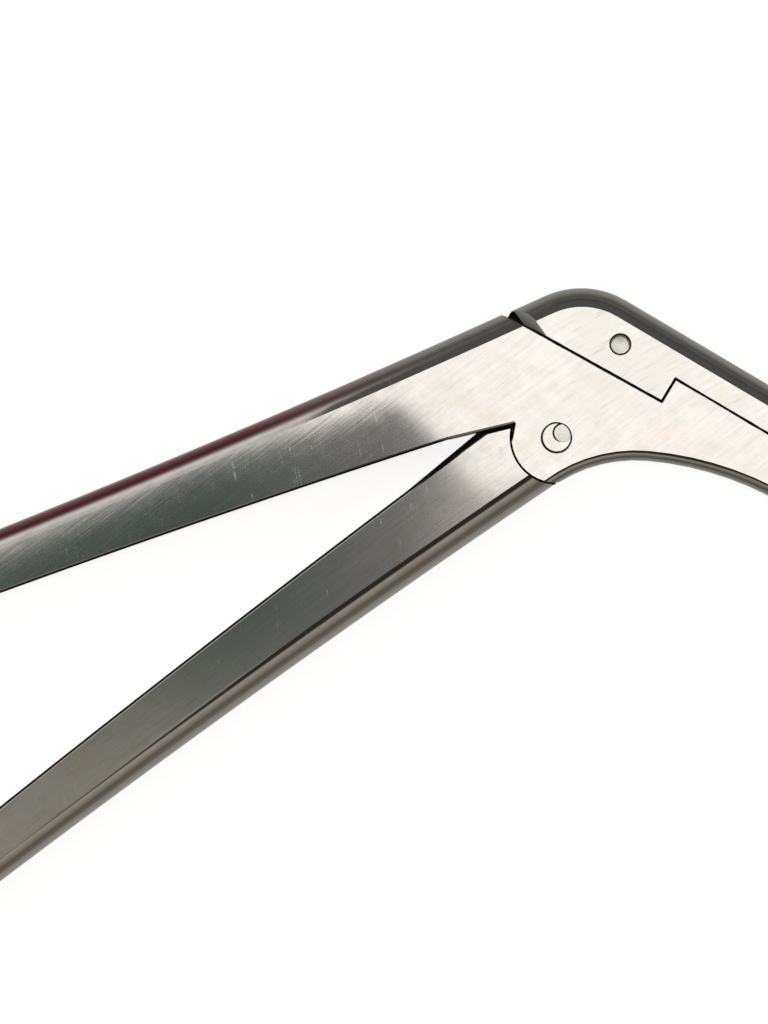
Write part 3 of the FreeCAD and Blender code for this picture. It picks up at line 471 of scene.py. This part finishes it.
def steel(name, grain, roughness, base=BASE, dull=DULL, rounding_shade=ROUNDING_SHADE,
          lines=(), rings=(), dark_edge=None, tint=None, shine=None):
    """Steel ground along a direction given in degrees, with painted shade on its roundings and in its crevices.

    The tint is a mark and its colour. The shine says how metallic the surface is, if not everywhere.
    """
    material = bpy.data.materials.new(name)
    tree = Tree(material)
    point = Point(tree)
    grain = math.radians(grain)
    along = tree.mapped(point.place, turn=-grain)

    fine = tree.streaks(along, FINE_LINES, detail=1.0, rough=0.6, shift=(0, 0, 0))
    coarse = tree.streaks(along, COARSE_LINES, detail=1.0, rough=0.55, shift=(3, 1, 2))
    mottle = tree.noise(point.place, MOTTLE_SCALE, detail=3.0, rough=0.6)
    cloud = tree.noise(point.place, CLOUD_SCALE, detail=2.0, rough=0.55)
    stain_place = tree.mapped(point.place, shift=(0.13, 0.29, 0.0))
    stain = tree.noise(stain_place, STAIN_SCALE, detail=3.0, rough=0.6)
    score = grey_scores(tree, along, cloud)
    hair = hair_scratches(tree, point, grain, mottle)
    rounding = tree.product(tree.spread(point.facing, *ROUNDING), tree.spread(point.facing, *ABOVE_WALL))
    painted_shade = painted_shade_mark(tree, point, mottle, lines, rings, dark_edge)

    tone = tree.spread(coarse, *MOST, 0.0, COARSE_SHARE)
    tone = tree.math("ADD", tone, tree.spread(fine, *MOST, 0.0, FINE_SHARE))
    tone = tree.math("ADD", tone, tree.spread(mottle, *MOTTLE_RANGE, 0.0, MOTTLE_SHARE), clamp=True)
    colour = tree.blend(tone, base, dull)
    colour = tree.blend(tree.spread(cloud, *PATINA_RANGE, 0.0, PATINA_SHARE), colour, PATINA)
    colour = tree.blend(tree.spread(stain, *STAIN_RANGE, 0.0, STAIN_SHARE), colour, STAIN)
    colour = tree.blend(score, colour, SCORE)
    colour = tree.blend(hair, colour, BRIGHT_SCRATCH)
    # Painted shade: the roundings take a dark base colour
    colour = tree.blend(tree.math("MULTIPLY", rounding, ROUNDING_SHADE_SHARE), colour, rounding_shade)
    # The tint paints light on single pieces: a red reflection, a highlight or a lighter bevel
    if tint is not None:
        tinted, tint_colour = tint
        colour = tree.blend(tinted(tree, point), colour, tint_colour)
    # Painted shade in the slots, in the seams, round the pins and on an inner edge
    colour = tree.blend(painted_shade, colour, PAINTED_SHADE)

    rough = tree.spread(mottle, *MOST, roughness - ROUGHNESS_BELOW, roughness + ROUGHNESS_ABOVE)
    rough = tree.math("ADD", rough, tree.math("MULTIPLY", hair, HAIR_ROUGHNESS))
    rough = tree.math("ADD", rough, tree.math("MULTIPLY", rounding, ROUNDING_ROUGHNESS))
    rough = tree.math("ADD", rough, tree.math("MULTIPLY", painted_shade, PAINTED_SHADE_ROUGHNESS), clamp=True)

    relief = tree.math("ADD", tree.math("MULTIPLY", fine, FINE_RELIEF), coarse)
    relief = tree.math("ADD", relief, tree.math("MULTIPLY", cloud, CLOUD_RELIEF))

    shader = tree.add("ShaderNodeBsdfPrincipled")
    tree.feed(shader.inputs["Metallic"], 1.0 if shine is None else shine(tree, point))
    tree.join(colour, shader.inputs["Base Color"])
    tree.join(rough, shader.inputs["Roughness"])
    tree.join(tree.bump(relief, RELIEF), shader.inputs["Normal"])
    tree.finish(shader.outputs[0])
    return material


# Marks on single pieces: directions they face, stretches of how far, and places along the handles

REAR_INNER = side(0.31, -0.95)
FRONT_INNER = side(-0.61, 0.79)
REAR_BACK = side(-0.39, 0.92)
LOWER_LEFT = side(-0.7, -0.7)

INNER_TURN = (0.12, 0.3)
INNER_FACES = (0.02, 0.1)
# How strong the painted shade on an inner edge gets
INNER_EDGE_SHADE = 0.93
REAR_EDGE_FRONT = (-9.0 * MM, -10.0 * MM)
REAR_EDGE_END = (-50.0 * MM, -46.0 * MM)
FRONT_EDGE_END = (-72.0 * MM, -66.0 * MM)

# Where the painted red reflection lies on the rear handle's back
RED_REFLECTION_TURN = (0.24, 0.44)
RED_REFLECTION_ABOVE = (0.92, 0.82)
RED_REFLECTION_BELOW = (0.2, 0.55)
RED_REFLECTION_STRENGTH = 0.95
RED_REFLECTION_FRONT = (-15.0 * MM, -27.0 * MM)
RED_REFLECTION_END = (-52.0 * MM, -45.0 * MM)

RECESS_ABOVE = (0.9985, 0.9975)
RECESS_BELOW = (0.985, 0.99)

BEVEL_TURN = (0.1, 0.3)
BEVEL_BELOW = (0.6, 0.63)
BEVEL_ABOVE = (0.68, 0.65)
BEVEL_FRONT = (-5.0 * MM, -5.4 * MM)
BEVEL_SHINE = 0.1


def turned_to(tree, point, direction, stretch):
    """How far a surface faces sideways towards a direction in the side view."""
    return tree.spread(tree.share(point.normal, (*direction, 0)), *stretch)


def inner_edge(tree, point, direction):
    """The edge of a handle that faces the other handle, down to its upright wall."""
    return tree.product(
        turned_to(tree, point, direction, INNER_TURN),
        tree.spread(point.facing, *INNER_FACES),
    )


def rear_inner_edge(tree, point):
    """Painted shade on the rear handle's inner edge, as far as the ring's neck."""
    return tree.product(
        inner_edge(tree, point, REAR_INNER),
        tree.spread(point.x, *REAR_EDGE_FRONT),
        tree.spread(point.x, *REAR_EDGE_END, 0.0, INNER_EDGE_SHADE),
    )


def front_inner_edge(tree, point):
    """Painted shade on the front handle's inner edge, as far as the ring's neck."""
    return tree.product(
        inner_edge(tree, point, FRONT_INNER),
        tree.spread(point.y, *FRONT_EDGE_END, 0.0, INNER_EDGE_SHADE),
    )


def rear_back_red_reflection(tree, point):
    """Painted reflection: a dull red along the rounding of the rear handle's back."""
    return tree.product(
        turned_to(tree, point, REAR_BACK, RED_REFLECTION_TURN),
        tree.spread(point.facing, *RED_REFLECTION_ABOVE),
        tree.spread(point.x, *RED_REFLECTION_FRONT),
        tree.spread(point.facing, *RED_REFLECTION_BELOW),
        tree.spread(point.x, *RED_REFLECTION_END, 0.0, RED_REFLECTION_STRENGTH),
    )


def recess_floor(tree, point):
    """The slanting floor of the recess in the pivot pin, which gets a painted highlight."""
    return tree.product(tree.spread(point.facing, *RECESS_ABOVE), tree.spread(point.facing, *RECESS_BELOW))


def rear_bevel(tree, point):
    """The bevel below the slider's rear tip, where light is painted."""
    return tree.product(
        tree.spread(point.facing, *BEVEL_BELOW),
        tree.spread(point.facing, *BEVEL_ABOVE),
        turned_to(tree, point, LOWER_LEFT, BEVEL_TURN),
        tree.spread(point.x, *BEVEL_FRONT),
    )


def bevel_shine(tree, point):
    """Fully metallic, but for the bevel below the slider's rear tip, which is matt so that its pale colour shows as
    painted light.
    """
    return tree.spread(rear_bevel(tree, point), 0.0, 1.0, 1.0, BEVEL_SHINE)


frame_steel = steel(
    "frame_steel", grain=68, roughness=0.055, lines=(*SEAMS, NOTCH_WALL), rings=(PIVOT_RING, PIVOT_SHADE),
    dark_edge=rear_inner_edge, tint=(rear_back_red_reflection, RED_REFLECTION),
)
handle_steel = steel(
    "handle_steel", grain=67, roughness=0.07, rounding_shade=HANDLE_ROUNDING_SHADE, dark_edge=front_inner_edge,
)
slider_steel = steel(
    "slider_steel", grain=60, roughness=0.06, lines=SEAMS, rings=(DRIVE_RING,),
    tint=(rear_bevel, BEVEL_PAINTED_LIGHT), shine=bevel_shine,
)
pin_steel = steel(
    "pin_steel", grain=20, roughness=0.08, rings=(PIVOT_RING, RECESS_SHADE, RECESS_RING),
    tint=(recess_floor, RECESS_HIGHLIGHT),
)
link_steel = steel(
    "link_steel", grain=20, roughness=0.2, base=PIN_BRIGHT, dull=PIN_DULL, rounding_shade=PIN_ROUNDING_SHADE,
    rings=(DRIVE_RING, DRIVE_SHADE),
)

DRESS = {
    "body_frame": frame_steel, "thumb_ring": frame_steel,
    "front_handle": handle_steel, "finger_ring": handle_steel,
    "slider_bar": slider_steel, "upper_jaw": slider_steel,
    "handle_pivot_pin": pin_steel, "slider_drive_pin": link_steel,
    "jaw_pivot_pin": link_steel, "jaw_link_pin": link_steel,
}
for name, material in DRESS.items():
    for slot in nodes[name].material_slots:
        slot.material = material

# Dark slabs of painted shade that fill the seams below the side faces, in millimetres

SEAM_SHADE_DEPTHS = ((0.8, 1.3), (3.7, 4.2))
SEAM_SHADE_LIGHT = (0.02, 0.016, 0.012)
SEAM_SHADE_ROUGHNESS = (0.6, 0.8)
HEEL_SEAM = [(-10.3, 7.86), (7.1, 8.36), (7.1, 8.53), (-10.3, 8.04)]
STEP_SIDES = (7.14, 7.36)
STEP_ENDS = (8.4, 11.0)
FRONT_SIDES = (7.3, 134.0)
FRONT_HALF_WIDTH = 0.09
FRONT_ENDS = (SEAM_Y - FRONT_HALF_WIDTH, SEAM_Y + FRONT_HALF_WIDTH)
CHEEK_GAP = (4.52, 4.7)
CHEEK_TURNS = [math.radians(degrees) for degrees in range(-78, -58, 2)]


def seam_shade_paint():
    """Painted shade for the seams: near black, slightly lumpy and matt."""
    material = bpy.data.materials.new("seam_shade")
    tree = Tree(material)
    place = tree.add("ShaderNodeTexCoord").outputs["Object"]
    lumps = tree.noise(place, LUMP_SCALE, detail=2.0, rough=0.5)
    shader = tree.add("ShaderNodeBsdfPrincipled")
    tree.join(tree.blend(lumps, PAINTED_SHADE, SEAM_SHADE_LIGHT), shader.inputs["Base Color"])
    tree.join(tree.spread(lumps, *MOST, *SEAM_SHADE_ROUGHNESS), shader.inputs["Roughness"])
    tree.finish(shader.outputs[0])
    return material


seam_shade = seam_shade_paint()


def fill(name, outline, body):
    """Two dark slabs of painted shade with the same outline, one under each side face."""
    points = []
    faces = []
    count = len(outline)
    for low, high in SEAM_SHADE_DEPTHS:
        first = len(points)
        points += [(x * MM, y * MM, z * MM) for z in (low, high) for x, y in outline]
        faces.append([first + index for index in reversed(range(count))])
        faces.append([first + count + index for index in range(count)])
        for index in range(count):
            after = (index + 1) % count
            faces.append([first + index, first + after, first + count + after, first + count + index])
    mesh = bpy.data.meshes.new(name)
    mesh.from_pydata(points, [], faces)
    slabs = bpy.data.objects.new(name, mesh)
    scene.collection.objects.link(slabs)
    mesh.materials.append(seam_shade)
    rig.ride(slabs, body)


def box(sides, ends):
    """The corners of a rectangle, from its left and right sides and its lower and upper ends."""
    (left, right), (low, high) = sides, ends
    return [(left, low), (right, low), (right, high), (left, high)]


def arc(radius, turns):
    """Places on a circle round the handle pivot."""
    return [(radius * math.cos(turn), radius * math.sin(turn)) for turn in turns]


fill("heel_seam_shade", HEEL_SEAM, "frame")
fill("step_seam_shade", box(STEP_SIDES, STEP_ENDS), "frame")
fill("front_seam_shade", box(FRONT_SIDES, FRONT_ENDS), "frame")
fill("cheek_seam_shade", arc(CHEEK_GAP[0], CHEEK_TURNS) + arc(CHEEK_GAP[1], reversed(CHEEK_TURNS)), "frame")

# Floor: it takes the shadow and looks white to the camera and in reflections

FLOOR_ENDS = (-6.0, 6.0)
FLOOR_DROP = 0.0001
FLOOR_COLOUR = (0.9, 0.9, 0.9)
FLOOR_GLOW = 0.8
WHITE = (1.0, 1.0, 1.0)


def floor_paint():
    """Matt white with a glow that only camera, glossy and transmission rays see."""
    material = bpy.data.materials.new("floor_white")
    tree = Tree(material)
    matt = tree.add("ShaderNodeBsdfDiffuse")
    matt.inputs["Color"].default_value = solid(FLOOR_COLOUR)
    glow = tree.add("ShaderNodeEmission")
    glow.inputs["Color"].default_value = solid(WHITE)
    glow.inputs["Strength"].default_value = FLOOR_GLOW
    dark = tree.add("ShaderNodeEmission")
    dark.inputs["Strength"].default_value = 0.0
    rays = tree.add("ShaderNodeLightPath")
    seen = tree.math("ADD", rays.outputs["Is Camera Ray"], rays.outputs["Is Glossy Ray"], clamp=True)
    seen = tree.math("ADD", seen, rays.outputs["Is Transmission Ray"], clamp=True)
    shown = tree.add("ShaderNodeMixShader")
    tree.join(seen, shown.inputs[0])
    tree.join(dark.outputs[0], shown.inputs[1])
    tree.join(glow.outputs[0], shown.inputs[2])
    both = tree.add("ShaderNodeAddShader")
    tree.join(shown.outputs[0], both.inputs[0])
    tree.join(matt.outputs[0], both.inputs[1])
    tree.finish(both.outputs[0])
    return material


floor_mesh = bpy.data.meshes.new("floor")
floor_corners = [(x, y, 0) for x, y in box(FLOOR_ENDS, FLOOR_ENDS)]
floor_mesh.from_pydata(floor_corners, [], [(0, 1, 2, 3)])
floor_mesh.materials.append(floor_paint())
floor = bpy.data.objects.new("floor", floor_mesh)
floor.location.z = -FLOOR_DROP
scene.collection.objects.link(floor)
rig.stage(floor)

# Surroundings: dim above and lighter near the horizon. Towards the photograph's lower right they are
# dark at first and then warm. Each pair says where a tone starts and where it is full.

SKY_FALL = (0.6, 0.32)
GLOW_RISE = (0.36, 0.5)
SHADE_RISE = (0.02, 0.1)
SHADE_FALL = (0.46, 0.34)
OVERHEAD = (0.1, 0.096, 0.094)
HORIZON = (0.43, 0.42, 0.405)
LOWER_RIGHT_GLOW = (0.4, 0.365, 0.31)
LOWER_RIGHT_SHADE = (0.03, 0.027, 0.024)
LOWER_RIGHT = RIGHT * 0.5 - UP * 0.87

world = bpy.data.worlds.new("world")
scene.world = world
sky = Tree(world)
towards = sky.add("ShaderNodeTexCoord").outputs["Generated"]
upward = sky.share(towards, (0, 0, 1))
slant = sky.share(towards, LOWER_RIGHT)
near_shade = sky.product(sky.spread(slant, *SHADE_RISE), sky.spread(slant, *SHADE_FALL))
sky_colour = sky.blend(sky.spread(upward, *SKY_FALL), OVERHEAD, HORIZON)
sky_colour = sky.blend(sky.spread(slant, *GLOW_RISE), sky_colour, LOWER_RIGHT_GLOW)
sky_colour = sky.blend(near_shade, sky_colour, LOWER_RIGHT_SHADE)
backdrop = sky.add("ShaderNodeBackground")
sky.join(sky_colour, backdrop.inputs["Color"])
sky.finish(backdrop.outputs[0], "ShaderNodeOutputWorld")

# Softbox and boards above the part: places in millimetres to the right of and above the view's centre

KEY_PLACE = (-95, 16, 400)
KEY_WIDTH = 410 * MM
KEY_DEPTH = 92 * MM
KEY_RADIANCE = 1.35
KEY_COLOUR = (1.0, 0.955, 0.915)

key_data = bpy.data.lights.new("key_softbox", "AREA")
key_data.shape = "RECTANGLE"
key_data.size = KEY_WIDTH
key_data.size_y = KEY_DEPTH
key_data.energy = KEY_RADIANCE * math.pi * KEY_WIDTH * KEY_DEPTH
key_data.color = KEY_COLOUR
key = bpy.data.objects.new("key_softbox", key_data)
right, above, height = KEY_PLACE
key.location = VIEW_CENTRE + (RIGHT * right + UP * above + Vector((0, 0, height))) * MM
key.rotation_euler = (0, 0, PHOTO_TURN)
key.visible_camera = False
scene.collection.objects.link(key)


def board(name, corners, paint, lights):
    """A glowing board that the steel mirrors and the camera doesn't see, in millimetres.

    Lights says whether it lights matt surfaces too. The paint takes places on the board in metres.
    """
    mesh = bpy.data.meshes.new(name)
    mesh.from_pydata([Vector(corner) * MM for corner in corners], [], [tuple(range(len(corners)))])
    thing = bpy.data.objects.new(name, mesh)
    thing.location = VIEW_CENTRE
    thing.rotation_euler = (0, 0, PHOTO_TURN)
    thing.visible_camera = False
    thing.visible_diffuse = lights
    scene.collection.objects.link(thing)
    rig.stage(thing)
    material = bpy.data.materials.new(name)
    tree = Tree(material)
    place = tree.parts(tree.add("ShaderNodeTexCoord").outputs["Object"])
    glow = tree.add("ShaderNodeEmission")
    tree.join(paint(tree, place["X"], place["Y"]), glow.inputs["Color"])
    tree.finish(glow.outputs[0])
    mesh.materials.append(material)


FLAG_HEIGHT = 385
FLAG_BORDER = (
    (13, -300), (13, -17), (26, -11), (37, -3), (30, 1.5), (21, 4), (15.5, 8.5), (12, 14.5),
    (2.5, 23.0), (-17.4, 16.5), (-38, 9.8), (-53.6, 2.0), (-79.5, -9.4), (-300, -105), (-300, -300),
)
FLAG_TO_LEFT = (0.0, -0.034)
FLAG_TO_BELOW = (-0.022, -0.056)
FLAG_TO_RIGHT = (0.004, 0.019)
FLAG_MIDDLE = (0.19, 0.187, 0.184)
FLAG_LEFT = (0.082, 0.107, 0.094)
FLAG_BELOW = (0.32, 0.3, 0.265)
FLAG_RIGHT = (0.46, 0.43, 0.39)


def flag_paint(tree, x, y):
    """Neutral in the middle, greener to the left, browner below and lighter at its right end."""
    colour = tree.blend(tree.spread(x, *FLAG_TO_LEFT), FLAG_MIDDLE, FLAG_LEFT)
    colour = tree.blend(tree.spread(y, *FLAG_TO_BELOW), colour, FLAG_BELOW)
    return tree.blend(tree.spread(x, *FLAG_TO_RIGHT), colour, FLAG_RIGHT)


SIDE_HEIGHT = 392
SIDE_FOOT = Vector((-12, 5, SIDE_HEIGHT))
SIDE_END = Vector((-320, -120, SIDE_HEIGHT))
SIDE_TURN = math.radians(22)
SIDE_UP = Vector((-math.sin(SIDE_TURN), math.cos(SIDE_TURN), 0))
SIDE_HEAD = SIDE_FOOT + SIDE_UP * 640
SIDE_FAR_HEAD = SIDE_END + SIDE_UP * 760
SIDE_CORNERS = (SIDE_FOOT, SIDE_HEAD, SIDE_FAR_HEAD, SIDE_END)
SIDE_TO_LEFT = (-0.012, -0.06)
SIDE_TO_MIDDLE = (0.08, 0.22)
SIDE_TO_FAR = (0.3, 0.6)
SIDE_BRIGHT = (1.15, 1.11, 1.07)
SIDE_LEFT = (0.62, 0.6, 0.575)
SIDE_MIDDLE = (0.85, 0.825, 0.79)
SIDE_FAR = (0.14, 0.135, 0.13)


def side_paint(tree, x, y):
    """Bright beside the softbox, dimmer to the left and farther up, and dark far away."""
    colour = tree.blend(tree.spread(x, *SIDE_TO_LEFT), SIDE_BRIGHT, SIDE_LEFT)
    colour = tree.blend(tree.spread(y, *SIDE_TO_MIDDLE), colour, SIDE_MIDDLE)
    return tree.blend(tree.spread(y, *SIDE_TO_FAR), colour, SIDE_FAR)


board("dark_flag", [(x, y, FLAG_HEIGHT) for x, y in FLAG_BORDER], flag_paint, lights=False)
board("side_card", SIDE_CORNERS, side_paint, lights=True)

json.dump({"start": start_bounds, "end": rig.bounds()},
          open("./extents.json", "w"), default=lambda item: [float(value) for value in item])
